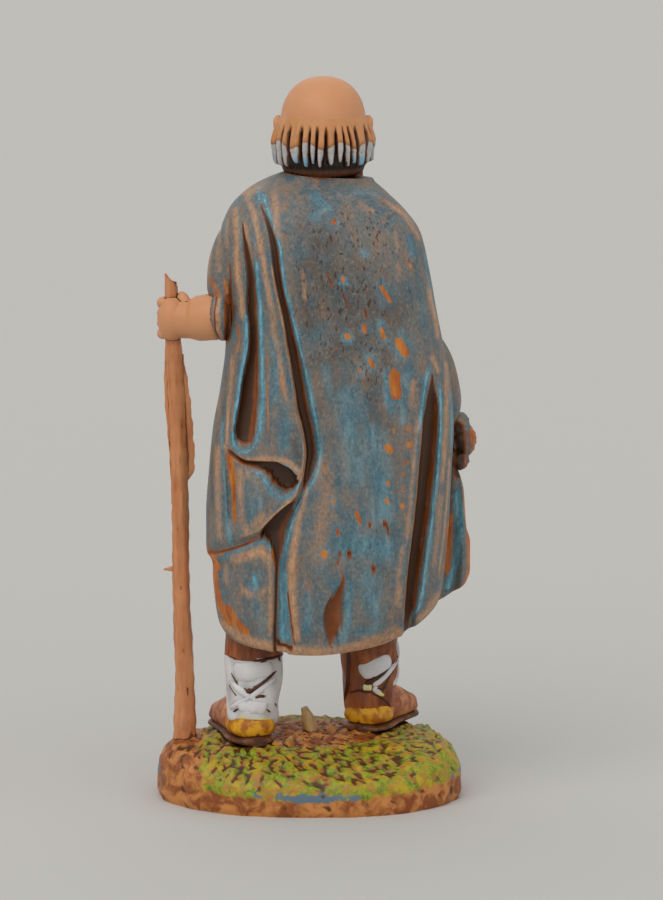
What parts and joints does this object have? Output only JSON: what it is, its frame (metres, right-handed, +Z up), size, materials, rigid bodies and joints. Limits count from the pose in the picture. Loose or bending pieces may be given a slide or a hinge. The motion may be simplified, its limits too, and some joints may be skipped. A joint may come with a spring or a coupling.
{
  "type": "santon shepherd figurine",
  "caption": "Painted crib figurine of a bald old shepherd in a long cloak, holding a staff, moulded in one piece with a grassy oval base.",
  "frame": {"origin": "middle of the base's outline, on its flat underside", "axes": "+Z up, the figure's face looks along -Y, and +X is the figure's left, where the staff is"},
  "size_m": [0.0448, 0.0288, 0.1],
  "materials": {
    "painted_plastic": "flesh-orange moulded plastic, hand painted in grey-blue, brown, white and green under a dark wash, semi-matt"
  },
  "bodies": {
    "root": {"shepherd_figurine": "painted_plastic"}
  },
  "joints": []
}
